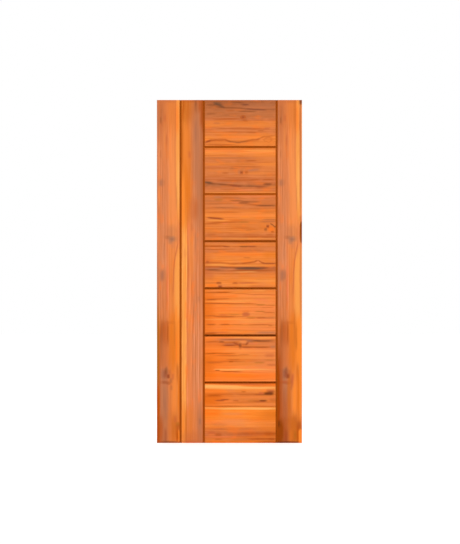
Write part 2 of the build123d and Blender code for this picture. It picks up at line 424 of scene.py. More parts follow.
BOTTOM_RAIL_UPPER_BANDS = [
    (0, "flame"), (12, "flame"), (20, "honey"), (36, "honey"), (48, "honey"), (62, "orange"),
    (80, "orange"), (97, "orange"), (114, "orange"), (128, "honey"), (138, "honey"),
]
BOTTOM_RAIL_UPPER_MARKS = [
    Mark("flame", 40, 85, 110, 60, 0.5),
    Mark("blaze", 25, 98, 80, 32, 0.9),
    Mark("rust", 330, 14, 90, 3.5, 0.4),
    Mark("clay", 225, 8, 165, 5, 0.8),
    Mark("pale", 90, 24, 160, 11.5, 0.95, rise=3, edge=4.0),
    Mark("pale", 310, 30, 115, 5.8, 0.9, edge=3.0),
    Mark("flame", 60, 48, 62, 8, 0.5),
    Mark("marigold", 290, 83, 130, 6, 0.5),
    Mark("ember", 60, 72, 50, 9, 0.6),
    Mark("rust", 140, 68, 42, 5.5, 0.4),
    Mark("rust", 265, 68, 78, 5.5, 0.65),
    Mark("ember", 230, 51, 14, 4, 0.5),
    Mark("clay", 385, 46, 20, 7, 0.75),
    Mark("clay", 333, 61, 16, 8, 0.75),
    Mark("umber", 328, 69, 28, 4, 0.5),
    Mark("wine", 392, 52, 22, 7, 0.6),
    Mark("bark", 376, 62, 29, 10, 0.88, edge=3.0),
    Mark("rust", 400, 100, 20, 9, 0.5),
    Mark("wine", 94, 103, 22, 4.2, 0.85),
    Mark("wine", 122, 97, 22, 4.2, 0.8),
    Mark("rust", 186, 104, 16, 4.5, 0.65),
    Mark("ochre", 290, 106, 40, 5, 0.7),
    Mark("clay", 330, 111, 32, 4, 0.5),
    Mark("rust", 322, 107, 38, 6, 0.5),
    Mark("bark", 344, 104, 20, 4.4, 0.85),
    Mark("marigold", 135, 111, 62, 4, 0.5),
    Mark("marigold", 180, 126, 95, 5, 0.6),
    Mark("ember", 215, 136.5, 235, 2.8, 0.85),
]

BOTTOM_RAIL_LOWER_BANDS = [
    (0, "honey"), (22, "amber"), (66, "amber"), (95, "marigold"), (112, "honey"), (128, "orange"),
    (146, "cinnamon"), (163, "russet"), (179, "orange"), (196, "orange"), (205, "tangerine"),
    (211, "tangerine"),
]
BOTTOM_RAIL_LOWER_MARKS = [
    Mark("flame", 38, 30, 60, 26, 1.0),
    Mark("amber", 45, 30, 32, 5, 0.6),
    Mark("peach", 175, 90, 80, 22, 0.75),
    Mark("peach", 170, 43, 65, 10, 0.6),
    Mark("gold", 300, 95, 110, 9, 0.4),
    Mark("tangerine", 425, 45, 100, 45, 0.9),
    Mark("tangerine", 430, 135, 120, 50, 0.6),
    Mark("gold", 25, 9, 45, 6, 0.8),
    Mark("pale", 250, 12.5, 190, 5.8, 1.05, edge=3.0),
    Mark("russet", 92, 105, 46, 7, 0.4),
    Mark("russet", 96, 130, 22, 4.5, 0.7),
    Mark("russet", 255, 131, 44, 5.5, 0.5),
    Mark("clay", 45, 151, 24, 6, 0.75),
    Mark("rust", 85, 162, 18, 9, 0.75),
    Mark("rust", 300, 157, 105, 13, 0.6),
    Mark("ember", 390, 158, 40, 12, 0.55),
    Mark("coral", 105, 176, 88, 4, 0.6),
    Mark("rust", 85, 189, 22, 4, 0.6),
    Mark("ochre", 200, 189, 42, 4, 0.7),
    Mark("ember", 335, 187, 88, 4.8, 0.8),
    Mark("ember", 392, 188, 20, 7, 0.6),
    Mark("ember", 390, 206, 70, 9, 0.6),
]

# Figure that both outer stiles share, and what each adds to it
OUTER_STILE_SEED = 101.9
OUTER_STILE_BANDS = [
    (0, "rose"), (48, "rose"), (62, "blush"), (76, "apricot"), (146, "apricot"),
]
OUTER_STILE_MARKS = [
    Mark("russet", 30, 24, 150, 36, 0.85),
    Mark("orange", 60, 88, 130, 40, 0.85),
    Mark("russet", 4, 75, 14, 60, 0.5),
    Mark("mauve", 130, 9, 120, 5, 0.7),
    Mark("brown", 95, 27, 70, 10, 0.55),
    Mark("umber", 118, 22, 20, 4.5, 0.5),
    Mark("clay", 105, 46, 20, 6, 0.5),
    Mark("russet", 205, 26, 60, 12, 0.6),
    Mark("cinnamon", 300, 28, 90, 14, 0.5),
    Mark("apricot", 240, 44, 100, 8, 0.6),
    Mark("clay", 232, 57, 32, 4.5, 0.5),
    Mark("marigold", 250, 78, 110, 7, 0.6),
    Mark("brown", 312, 22, 24, 6, 0.4),
    Mark("cinnamon", 280, 64, 70, 6, 0.7),
    Mark("peach", 470, 96, 270, 24, 0.9),
    Mark("gold", 290, 129, 425, 18, 0.95, edge=6.0),
    Mark("flame", 110, 118, 85, 10, 0.6),
    Mark("russet", 250, 106, 330, 3, 0.5),
    Mark("pale", 470, 125, 130, 8, 0.6),
    Mark("rose", 510, 62, 130, 8, 0.7),
    Mark("blush", 380, 44, 80, 7, 0.5),
    Mark("rose", 625, 26, 85, 9, 0.7),
    Mark("peach", 560, 12, 55, 5, 0.5),
    Mark("dusk", 478, 25, 20, 13, 0.6),
    Mark("brown", 560, 113, 70, 4, 0.4),
    Mark("blush", 775, 126, 70, 9, 0.8),
    Mark("peach", 712, 113, 32, 6, 0.7),
    Mark("mauve", 765, 78, 42, 32, 0.5),
    Mark("brown", 793, 62, 10, 17, 0.55),
    Mark("ash", 803, 88, 16, 22, 0.6),
    Mark("dusk", 804, 86, 6, 18, 0.5),
    Mark("ash", 822, 82, 12, 16, 0.5),
    Mark("dusk", 870, 42, 50, 9, 0.25),
    Mark("rose", 838, 90, 22, 14, 0.7),
    Mark("mauve", 1030, 8, 170, 7, 0.65),
    Mark("gold", 1050, 150, 195, 48, 0.95, edge=6.0),
    Mark("gold", 1230, 150, 370, 48, 0.95, edge=6.0),
    Mark("orange", 1080, 86, 190, 14, 0.75),
    *trail("clay", 3, 0.7, (840, 118), (890, 108), (940, 101), (1000, 96), (1110, 93)),
    Mark("coral", 985, 62, 28, 9, 0.5),
    Mark("coral", 1085, 61, 70, 6, 0.8),
    Mark("dusk", 1014, 32, 33, 14, 0.8),
    Mark("cinnamon", 1150, 45, 130, 14, 0.6),
    Mark("amber", 1400, 128, 150, 20, 0.9, edge=4.0),
    Mark("tangerine", 1420, 88, 190, 30, 0.95, edge=3.0),
    Mark("sienna", 1400, 22, 170, 26, 0.5),
    Mark("rust", 1354, 40, 82, 27, 0.75, edge=3.0),
    Mark("umber", 1365, 27, 75, 8, 0.45),
    Mark("ember", 1348, 63, 65, 5, 0.6),
    Mark("sienna", 1320, 102, 95, 5, 0.6),
    Mark("rust", 1286, 70, 9, 36, 0.25),
    Mark("russet", 1490, 40, 100, 30, 0.85),
    Mark("brown", 1445, 26, 95, 9, 0.5),
    Mark("mauve", 1790, 40, 240, 28, 0.95, edge=4.0),
    Mark("mauve", 1760, 62, 210, 8, 0.5),
    Mark("cinnamon", 1720, 78, 160, 10, 1.0),
    Mark("honey", 1700, 104, 130, 20, 0.9),
    Mark("tangerine", 1690, 126, 140, 8, 0.9),
    Mark("sienna", 1570, 119, 55, 7, 0.75),
    Mark("dusk", 1582, 41, 32, 22, 0.7),
    Mark("wine", 1582, 49, 24, 13, 0.5),
    Mark("umber", 1564, 53, 20, 8, 0.55),
    Mark("rust", 1572, 74, 16, 7, 0.4),
    Mark("clay", 1598, 92, 18, 8, 0.55),
    Mark("wine", 1630, 42, 9, 22, 0.55),
    Mark("wine", 1636, 66, 9, 16, 0.45),
    Mark("brown", 1620, 80, 14, 9, 0.65),
    Mark("brown", 1662, 84, 16, 6.5, 0.5),
    Mark("wine", 1596, 66, 12, 9, 0.9, edge=3.0),
    Mark("dusk", 1725, 44, 60, 8, 0.5),
    Mark("dusk", 1790, 50, 60, 8, 0.4),
    Mark("sienna", 1900, 100, 95, 36, 0.85),
    Mark("cinnamon", 1880, 76, 90, 10, 0.6),
    Mark("clay", 1843, 106, 20, 8, 0.5),
    Mark("moss", 1874, 124, 14, 12, 0.6),
    Mark("rust", 1888, 122, 14, 13, 0.6),
    Mark("wine", 1940, 50, 45, 9, 0.5),
    Mark("amber", 1940, 126, 34, 7, 0.9, edge=6.0),
    Mark("umber", 1977, 60, 9, 75, 0.7, edge=4.0),
]
LEFT_STILE_MARKS = [
    *OUTER_STILE_MARKS,
    Mark("moss", 1455, 7, 260, 5.5, 1.2),
    Mark("rust", 1560, 15, 200, 5, 0.6),
    Mark("amber", 1240, 112, 60, 8, 0.7),
    Mark("flame", 1440, 113, 90, 5, 0.5),
    Mark("cinder", 1830, 6, 185, 10, 1.4),
    Mark("ember", 1910, 11, 80, 11, 0.7),
    Mark("rust", 1910, 24, 85, 14, 0.75),
    Mark("cinder", 1932, 118, 42, 6.5, 0.9),
]
RIGHT_STILE_MARKS = [
    *OUTER_STILE_MARKS,
    Mark("russet", 320, 136, 350, 6, 0.85, edge=4.0),
    Mark("clay", 130, 134, 110, 5, 0.5),
    Mark("umber", 6, 138, 20, 9, 1.2),
    Mark("peach", 570, 104, 110, 7, 0.8),
    Mark("rose", 570, 69, 110, 8, 0.5),
    Mark("sienna", 70, 104, 110, 7, 0.5),
    Mark("russet", 686, 138, 20, 7, 0.7),
    # A darker strip along the right edge, in the dark joint-shade colour
    Mark("joint_shade_dark", 763, 140, 63, 8.5, 1.15, edge=8.0),
    Mark("dusk", 1010, 46, 24, 7, 0.45),
    Mark("cinnamon", 1050, 137, 240, 7, 0.7, edge=4.0),
    Mark("russet", 1245, 12, 60, 8, 0.7),
    Mark("dusk", 1576, 46, 26, 22, 0.4),
    Mark("clay", 1628, 52, 10, 30, 0.35),
    Mark("sienna", 1310, 104, 75, 6, 0.4),
    Mark("amber", 1390, 122, 140, 12, 0.9),
    Mark("amber", 1590, 137, 250, 9, 0.9, edge=4.0),
    Mark("tangerine", 1690, 121, 150, 8, 0.9),
    Mark("amber", 1715, 104, 105, 10, 0.8),
    Mark("clay", 1622, 88, 36, 8, 0.75),
    Mark("sienna", 1720, 70, 150, 11, 0.85),
    Mark("wine", 1580, 52, 22, 9, 0.35),
    Mark("wine", 1593, 63, 14, 9, 0.7),
    Mark("rust", 1720, 25, 270, 10, 0.7),
    Mark("rust", 1840, 52, 150, 12, 0.55),
    Mark("rust", 1850, 36, 165, 12, 0.55),
    # Painted shade: this strip and the joint-shade marks at 1920 and 1870 along darken the wood next to
    # the joint at the stile's left edge, towards the foot
    Mark("ember", 1770, 4, 340, 17, 1.4),
    Mark("joint_shade_dark", 1920, 22, 72, 18, 1.2),
    Mark("ember", 1905, 70, 75, 75, 0.3, edge=4.0),
    Mark("joint_shade_darkest", 1870, 11, 20, 9, 0.85),
    Mark("wine", 1945, 55, 42, 12, 0.6),
    Mark("sienna", 1905, 98, 85, 28, 0.9),
    Mark("rust", 1882, 128, 28, 14, 0.7),
    Mark("cinder", 1935, 121, 48, 6, 0.9),
    Mark("moss", 1940, 106, 36, 9, 0.4),
    Mark("tangerine", 1938, 82, 36, 9, 0.5),
    Mark("sienna", 1375, 112, 75, 6, 0.8),
    Mark("amber", 1950, 137, 52, 12, 1.1, edge=6.0),
    Mark("bark", 1978, 60, 8, 75, 0.5, edge=4.0),
]

# Figure of the middle stile, and the plain wood of the tongues
MIDDLE_STILE_BANDS = [
    (0, "gold"), (31, "gold"), (37, "blush"), (44, "blush"), (52, "apricot"), (64, "blush"),
    (73, "rose"), (134, "rose"),
]
MIDDLE_STILE_MARKS = [
    Mark("tangerine", 400, 30, 330, 38, 0.95, edge=3.0),
    Mark("honey", 260, 30, 130, 20, 0.6),
    Mark("sienna", 40, 40, 100, 70, 0.9),
    Mark("cinder", 28, 17, 42, 6, 0.6),
    Mark("cinder", 82, 12, 40, 5, 0.5),
    Mark("tangerine", 695, 31, 60, 6, 0.5),
    Mark("sienna", 260, 9, 140, 5, 0.95),
    Mark("amber", 600, 13, 150, 10, 0.85, edge=4.0),
    Mark("mauve", 240, 92, 250, 30, 0.95),
    Mark("dusk", 180, 87, 65, 8, 0.4),
    Mark("brown", 26, 86, 46, 10, 1.1),
    Mark("umber", 14, 86, 20, 6, 0.4),
    Mark("rust", 22, 110, 46, 12, 0.9),
    Mark("clay", 315, 50, 20, 8, 0.5),
    Mark("mauve", 560, 106, 200, 24, 0.85),
    Mark("brown", 390, 122, 410, 9, 0.75),
    Mark("ember", 60, 124, 110, 9, 0.9),
    Mark("rust", 105, 113, 50, 6, 0.4),
    Mark("russet", 630, 74, 75, 24, 0.8),
    Mark("rust", 632, 90, 48, 10, 0.35),
    Mark("coral", 745, 48, 34, 9, 0.5),
    Mark("russet", 735, 64, 28, 7, 0.5),
    Mark("mauve", 815, 86, 52, 6, 0.6),
    Mark("honey", 890, 67, 130, 11, 0.5),
    Mark("russet", 910, 122, 250, 9, 0.6),
    Mark("cinnamon", 906, 99, 42, 6, 0.6),
    Mark("mauve", 1090, 123, 140, 7, 0.4),
    Mark("coral", 1150, 53, 65, 5, 0.6),
    Mark("blush", 1510, 48, 150, 6, 0.8),
    Mark("blush", 1680, 62, 130, 8, 0.8),
    Mark("cinnamon", 1570, 124, 85, 8, 0.8),
    Mark("gold", 1320, 17, 430, 7, 0.8, edge=4.0),
    Mark("dusk", 1148, 105, 19, 10, 0.25),
    Mark("orange", 1880, 60, 110, 50, 0.8),
    Mark("sienna", 1900, 29, 105, 6, 0.6),
    Mark("amber", 1880, 14, 130, 8, 0.7),
    Mark("mauve", 1880, 111, 125, 19, 0.85),
    Mark("dusk", 1857, 112, 17, 7, 0.6),
    Mark("russet", 1955, 65, 42, 70, 0.5),
    Mark("clay", 1974, 60, 9, 70, 0.5),
    Mark("rust", 6, 66, 9, 80, 0.4),
]
TONGUE_BANDS = [(0, "russet"), (60, "russet")]

# The wood of each piece, by name: a seed for its noises, then its figure
WOODS = {
    "top_rail": Wood(3.1, TOP_RAIL_BANDS, TOP_RAIL_MARKS, TOP_RAIL_KNOTS),
    "board_1": Wood(11.7, BOARD_1_BANDS, BOARD_1_MARKS),
    "board_2": Wood(23.9, BOARD_2_BANDS, BOARD_2_MARKS),
    "board_3": Wood(37.3, BOARD_3_BANDS, BOARD_3_MARKS),
    "board_4": Wood(49.1, BOARD_4_BANDS, BOARD_4_MARKS),
    "board_5": Wood(61.5, BOARD_5_BANDS, BOARD_5_MARKS),
    "bottom_rail_upper": Wood(73.7, BOTTOM_RAIL_UPPER_BANDS, BOTTOM_RAIL_UPPER_MARKS),
    "bottom_rail_lower": Wood(89.3, BOTTOM_RAIL_LOWER_BANDS, BOTTOM_RAIL_LOWER_MARKS),
    "left_stile": Wood(OUTER_STILE_SEED, OUTER_STILE_BANDS, LEFT_STILE_MARKS),
    "right_stile": Wood(OUTER_STILE_SEED, OUTER_STILE_BANDS, RIGHT_STILE_MARKS),
    "middle_stile": Wood(127.7, MIDDLE_STILE_BANDS, MIDDLE_STILE_MARKS),
    "stile_tongue": Wood(131.3, TONGUE_BANDS, []),
}

# Painted shade in the boards' joints: height above the leaf's foot in millimetres, and tone
BOARD_JOINT_SHADE = [
    (0, "joint_shade_dark"), (353, "joint_shade_dark"), (480, "joint_shade_darkest"), (625, "joint_shade_darkest"), (760, "joint_shade_deep"),
    (1170, "joint_shade_deep"), (1300, "joint_shade_light"), (1438, "joint_shade_light"), (1710, "joint_shade"), (1981, "joint_shade"),
]

# Noises in the wood
DRIFT = Noise(0.0, 320.0, 70.0)
RIPPLE = Noise(3.0, 120.0, 40.0)
SWIRL = Noise(5.0, 600.0, 50.0, detail=3.0)
FIBRE = Noise(7.0, 200.0, 3.5, detail=3.0)
LINE_PATCHES = Noise(9.0, 300.0, 24.0)
STREAKS = Noise(13.0, 650.0, 8.0, detail=4.0, roughness=0.6)
PORES = Noise(17.0, 9.0, 0.7)
WHIRL = Noise(19.0, 22.0, 16.0, detail=3.0)
PATCHES = Noise(23.0, 90.0, 34.0)
NOISE_MIDDLE = 0.5

# How far the noises move the figure from one extreme to the other, in millimetres
BAND_WANDER = 12.0
BAND_STREAK = 16.0
MARK_WANDER = 6.0
MARK_SLIP = 2.0

# The log's growth rings, in millimetres, and the lines they draw on the face
RING_WIDTH = 11.0
PITH_ACROSS = 140.0
PITH_BEHIND = 90.0
RING_SWIRL = 5.0
LINE_SHARPNESS = 5.0
LINE_PATCH_STARTS = 0.42
LINE_PATCH_FULL = 0.72
LINE_SHARE = 0.3

# How strongly the wood varies between the marks
LEAN_THROUGH = 0.25
STILE_STREAKS = 0.8
BOARD_STREAKS = 0.45
STILE_FIBRE = 0.65
BOARD_FIBRE = 0.4
PIGMENT = (1.0, 1.8, 3.0)
PATCH_SHARE = 0.4
PATCH_SPAN = 0.25

# Shape of the marks, and of the knots in shares of their half sizes
MARK_FIBRE = 0.9
MARK_FRAY = 3.2
MARK_END_POWER = 4.0
KNOT_WOBBLE = 1.6
KNOT_HALO = 1.5
KNOT_HALO_SHARE = 0.4
KNOT_RING = 0.95
KNOT_RING_WIDTH = 0.25
KNOT_CORE = 0.5
BEND_REACH = 2.0
BEND_SHARE = 0.6

# Cut ends: how squarely a face has to cross the grain, and how far it darkens
END_GRAIN_STARTS = 0.8
END_GRAIN_FULL = 0.95
END_GRAIN_SHARE = 0.6

# Painted shade in the joints: depths and clear edges in millimetres, and shares
JOINT_SHADE_FULL_AT = 2.2
JOINT_SHADE_SHARE = 0.9
SIDE_CLEAR = 4.0
END_CLEAR = 0.5
BOARD_END = 0.04

# Finish of the surface, with the pores' depth in millimetres
ROUGHNESS = 0.42
ROUGHNESS_SPREAD = 0.16
SPECULAR_LEVEL = 0.04
PORE_BUMP = 0.12
PORE_DEPTH = 0.3

# Camera: places in the picture in pixels, lens and sensor in millimetres
IMAGE_HEIGHT = 544
DOOR_HEIGHT_IN_IMAGE = 343.0
DOOR_CENTRE_IN_IMAGE = (229.45, 271.5)
IMAGE_CENTRE = (230.0, 272.0)
LENS = 200.0
SENSOR = 36.0

# Studio: strengths of light, spread in degrees, distances in metres
KEY_STRENGTH = 1.96
BACK_STRENGTH = 1.63
LAMP_SPREAD = 40.0
LAMP_DISTANCE = 6.0
LAMP_HEIGHT = 5.0
AMBIENT = 0.36
WHITE = (1.0, 1.0, 1.0, 1.0)
FLOOR_COLOUR = (0.8, 0.8, 0.8, 1.0)
FLOOR_ROUGHNESS = 0.9
FLOOR_REACH = 30.0
FLOOR_GLOW_NEAR = 0.48
FLOOR_GLOW_FAR = 0.26
FLOOR_NEAR = 2.0
FLOOR_FAR = 6.0

# Sockets of a mix node that carry colours, and the inputs that every group shares
FIRST_COLOUR = 6
SECOND_COLOUR = 7
MIXED_COLOUR = 2
PLACE = ("along", "across", "at along", "at across", "half length", "half width")


def linear(tone):
    """The linear colour of a named tone, by the sRGB curve."""
    channels = []
    for value in TONES[tone]:
        share = value / 255
        channels.append(share / 12.92 if share <= 0.04045 else ((share + 0.055) / 1.055) ** 2.4)
    return (*channels, 1.0)


class Field:
    """A number that varies over the wood: the output of a node, with plain arithmetic between fields."""

    def __init__(self, tree, socket):
        self.tree = tree
        self.socket = socket

    def __add__(self, other):
        return calculate(self.tree, "ADD", self, other)

    def __sub__(self, other):
        return calculate(self.tree, "SUBTRACT", self, other)

    def __mul__(self, other):
        return calculate(self.tree, "MULTIPLY", self, other)

    def __truediv__(self, other):
        return calculate(self.tree, "DIVIDE", self, other)

    def __pow__(self, other):
        return calculate(self.tree, "POWER", self, other)

    def __abs__(self):
        return calculate(self.tree, "ABSOLUTE", self)


def plug(tree, value, socket):
    """Links a field or a socket to an input, or sets a plain value on it."""
    if isinstance(value, Field):
        tree.links.new(value.socket, socket)
    elif isinstance(value, bpy.types.NodeSocket):
        tree.links.new(value, socket)
    else:
        socket.default_value = value


def calculate(tree, operation, *terms):
    """The result of one step of arithmetic."""
    node = tree.nodes.new("ShaderNodeMath")
    node.operation = operation
    for term, socket in zip(terms, node.inputs):
        plug(tree, term, socket)
    return Field(tree, node.outputs[0])


def bell(distance_squared):
    """1 at no distance, falling smoothly to 0."""
    return calculate(distance_squared.tree, "EXPONENT", distance_squared * -1.0)


def smooth_step(value, low, high):
    """0 at low, 1 at high, with a smooth passage between them."""
    node = value.tree.nodes.new("ShaderNodeMapRange")
    node.interpolation_type = "SMOOTHSTEP"
    plug(value.tree, value, node.inputs["Value"])
    node.inputs["From Min"].default_value = low
    node.inputs["From Max"].default_value = high
    return Field(value.tree, node.outputs[0])


def blend(tree, first, second, share, mode="MIX"):
    """The first colour passing into the second, or multiplied by it, by a share from 0 to 1."""
    node = tree.nodes.new("ShaderNodeMix")
    node.data_type = "RGBA"
    node.blend_type = mode
    plug(tree, share, node.inputs[0])
    plug(tree, first, node.inputs[FIRST_COLOUR])
    plug(tree, second, node.inputs[SECOND_COLOUR])
    return node.outputs[MIXED_COLOUR]


def new_group(name, numbers, colours, results):
    """An empty node group: returns its tree, its input fields by name and its output node."""
    tree = bpy.data.node_groups.new(name, "ShaderNodeTree")
    for label in colours:
        tree.interface.new_socket(label, in_out="INPUT", socket_type="NodeSocketColor")
    for label in numbers:
        tree.interface.new_socket(label, in_out="INPUT", socket_type="NodeSocketFloat")
    for label, kind in results.items():
        tree.interface.new_socket(label, in_out="OUTPUT", socket_type=kind)
    given = tree.nodes.new("NodeGroupInput")
    fields = {label: Field(tree, given.outputs[label]) for label in (*colours, *numbers)}
    return tree, fields, tree.nodes.new("NodeGroupOutput")


def use_group(tree, group, values):
    """Places a group in a tree and sets its inputs: returns its output."""
    node = tree.nodes.new("ShaderNodeGroup")
    node.node_tree = group
    for label, value in values.items():
        plug(tree, value, node.inputs[label])
    return node.outputs[0]


def make_mark_group():
    """Lays one mark over the wood's colour."""
    numbers = (*PLACE, "fibre", "strength", "rise", "edge")
    tree, given, result = new_group("wood mark", numbers, ("wood", "tone"), {"wood": "NodeSocketColor"})
    end = (given["along"] - given["at along"]) / given["half length"]
    frayed = abs(end) + (given["fibre"] - NOISE_MIDDLE) * MARK_FRAY / given["edge"]
    side = (given["across"] - given["at across"] - given["rise"] * end) / given["half width"]
    reach = (side * side + frayed ** MARK_END_POWER) ** (given["edge"] * 0.5)
    mask = bell(reach) * given["strength"] * (given["fibre"] * MARK_FIBRE + 1.0 - MARK_FIBRE / 2)
    plug(tree, blend(tree, given["wood"], given["tone"], mask), result.inputs["wood"])
    return tree


def make_knot_group():
    """Lays one knot over the wood's colour: a dark core, a ring round it and a faint halo."""
    numbers = (*PLACE, "wobble", "strength")
    colours = ("wood", "core", "rim")
    tree, given, result = new_group("wood knot", numbers, colours, {"wood": "NodeSocketColor"})
    end = (given["along"] - given["at along"]) / given["half length"]
    side = (given["across"] - given["at across"]) / given["half width"]
    radius = calculate(tree, "SQRT", end * end + side * side) + given["wobble"]
    halo = bell((radius / KNOT_HALO) ** 2.0) * given["strength"] * KNOT_HALO_SHARE
    ring = bell(((radius - KNOT_RING) / KNOT_RING_WIDTH) ** 2.0) * given["strength"]
    core = bell((radius / KNOT_CORE) ** 2.0) * given["strength"]
    colour = blend(tree, given["wood"], given["rim"], halo)
    colour = blend(tree, colour, given["rim"], ring)
    plug(tree, blend(tree, colour, given["core"], core), result.inputs["wood"])
    return tree


def make_bend_group():
    """Pushes the grain aside round one knot, so that its lines part and close again."""
    tree, given, result = new_group("grain bend", PLACE, (), {"across": "NodeSocketFloat"})
    end = (given["along"] - given["at along"]) / (given["half length"] * BEND_REACH)
    offset = given["across"] - given["at across"]
    side = offset / (given["half width"] * BEND_REACH)
    push = offset * bell(end * end + side * side) * BEND_SHARE
    plug(tree, given["across"] - push, result.inputs["across"])
    return tree


def split_vector(tree, vector):
    """The three parts of a vector as fields."""
    split = tree.nodes.new("ShaderNodeSeparateXYZ")
    tree.links.new(vector, split.inputs[0])
    return [Field(tree, output) for output in split.outputs]


def object_place(tree):
    """The place of a point in the leaf's own frame, in metres."""
    return split_vector(tree, tree.nodes.new("ShaderNodeTexCoord").outputs["Object"])


def grain_space(tree, node_name):
    """Distances in millimetres along the grain, across the face and in from the outside face.

    The grain leans a little on its way through the leaf.
    """
    x, y, z = object_place(tree)
    low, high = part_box(node_name)
    depth = (y - leaf_low.y) / MM
    from_top = (z - high.z) / -MM
    if "stile" in node_name:
        along, across = from_top, (x - low.x) / MM
    else:
        boards_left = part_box("middle_stile")[1].x
        along, across = (x - boards_left) / MM, from_top
    return along + depth * LEAN_THROUGH, across + depth * LEAN_THROUGH, depth


def noise(space, seed, kind):
    """Smooth noise from 0 to 1 in the grain's space."""
    tree = space[0].tree
    sizes = (kind.length, kind.width, kind.width)
    places = [field / size + (seed + kind.seed) for field, size in zip(space, sizes)]
    vector = tree.nodes.new("ShaderNodeCombineXYZ")
    for place, socket in zip(places, vector.inputs):
        plug(tree, place, socket)
    node = tree.nodes.new("ShaderNodeTexNoise")
    tree.links.new(vector.outputs[0], node.inputs["Vector"])
    node.inputs["Scale"].default_value = 1.0
    node.inputs["Detail"].default_value = kind.detail
    node.inputs["Roughness"].default_value = kind.roughness
    return Field(tree, node.outputs[0])


def band_colours(tree, place, bands):
    """The tones of a row of bands, each passing smoothly into the next."""
    width = bands[-1][0]
    share = place / width
    node = tree.nodes.new("ShaderNodeValToRGB")
    ramp = node.color_ramp
    ramp.interpolation = "EASE"
    for _ in bands[2:]:
        ramp.elements.new(0.5)
    for element, (start, tone) in zip(ramp.elements, bands):
        element.position = start / width
        element.color = linear(tone)
    plug(tree, share, node.inputs[0])
    return node.outputs[0]


def growth_lines(space, seed):
    """Thin lines where the log's growth rings reach the face, stronger in some places than others."""
    along, across, depth = space
    sideways = across - PITH_ACROSS
    inwards = depth - PITH_BEHIND
    radius = calculate(along.tree, "SQRT", sideways * sideways + inwards * inwards)
    turns = (radius / RING_WIDTH + noise(space, seed, SWIRL) * RING_SWIRL) * math.tau
    wave = calculate(along.tree, "COSINE", turns) * 0.5 + 0.5
    patches = smooth_step(noise(space, seed, LINE_PATCHES), LINE_PATCH_STARTS, LINE_PATCH_FULL)
    return wave ** LINE_SHARPNESS * patches


def deepen(tree, colour, amount):
    """A colour with more of the wood's own pigment, which takes most from blue and least from red."""
    shares = [calculate(tree, "EXPONENT", amount * -take) for take in PIGMENT]
    passed = tree.nodes.new("ShaderNodeCombineColor")
    for share, socket in zip(shares, passed.inputs):
        plug(tree, share, socket)
    return blend(tree, colour, passed.outputs[0], 1.0, "MULTIPLY")


def place_of(figure, along, across):
    """The inputs that place a mark or a knot in a piece's grain."""
    values = (along, across, figure.along, figure.across, figure.half_length, figure.half_width)
    return dict(zip(PLACE, values))


def part_grain(space, wood):
    """The grain's space with its lines drifting, and parting round the knots."""
    along, across, depth = space
    parted = across + (noise(space, wood.seed, DRIFT) - NOISE_MIDDLE) * BAND_WANDER
    for knot in wood.knots:
        parted = Field(along.tree, use_group(along.tree, GRAIN_BEND, place_of(knot, along, parted)))
    return along, parted, depth


def plain_wood(tree, node_name, wood, space, parted_space, fibre):
    """The wood's colour before its marks: bands, growth lines, streaks, fibre and soft patches."""
    streaks = noise(parted_space, wood.seed, STREAKS)
    place = parted_space[1] + (streaks - NOISE_MIDDLE) * BAND_STREAK
    colour = band_colours(tree, place, wood.bands)
    colour = blend(tree, colour, linear("rust"), growth_lines(parted_space, wood.seed) * LINE_SHARE)
    streak_depth, fibre_depth = BOARD_STREAKS, BOARD_FIBRE
    if "stile" in node_name:
        streak_depth, fibre_depth = STILE_STREAKS, STILE_FIBRE
    pigment = (streaks - NOISE_MIDDLE) * streak_depth + (fibre - NOISE_MIDDLE) * fibre_depth
    colour = deepen(tree, colour, pigment)
    patches = noise(space, wood.seed, PATCHES)
    for tone, span in (("blush", PATCH_SPAN), ("flame", -PATCH_SPAN)):
        share = smooth_step(patches, NOISE_MIDDLE, NOISE_MIDDLE + span) * PATCH_SHARE
        colour = blend(tree, colour, linear(tone), share)
    return colour


def lay_marks(tree, colour, wood, along, across, fibre):
    """Lays the wood's marks over its colour, in the order of their list."""
    for mark in wood.marks:
        colour = use_group(tree, WOOD_MARK, {
            **place_of(mark, along, across), "wood": colour, "tone": linear(mark.tone),
            "fibre": fibre, "strength": mark.strength, "rise": mark.rise, "edge": mark.edge,
        })
    return colour


def lay_knots(tree, colour, wood, space, across):
    """Lays the wood's knots over its marks, with a wobbling outline."""
    for knot in wood.knots:
        wobble = (noise(space, wood.seed, WHIRL) - NOISE_MIDDLE) * KNOT_WOBBLE
        colour = use_group(tree, WOOD_KNOT, {
            **place_of(knot, space[0], across), "wood": colour, "core": linear(knot.core),
            "rim": linear(knot.rim), "wobble": wobble, "strength": knot.strength,
        })
    return colour


def end_grain(tree, colour, node_name):
    """Darker wood where the fibres are cut across."""
    normal = tree.nodes.new("ShaderNodeNewGeometry").outputs["Normal"]
    grain_axis = 2 if "stile" in node_name else 0
    squareness = abs(split_vector(tree, normal)[grain_axis])
    cut = smooth_step(squareness, END_GRAIN_STARTS, END_GRAIN_FULL)
    return blend(tree, colour, linear("brown"), cut * END_GRAIN_SHARE)


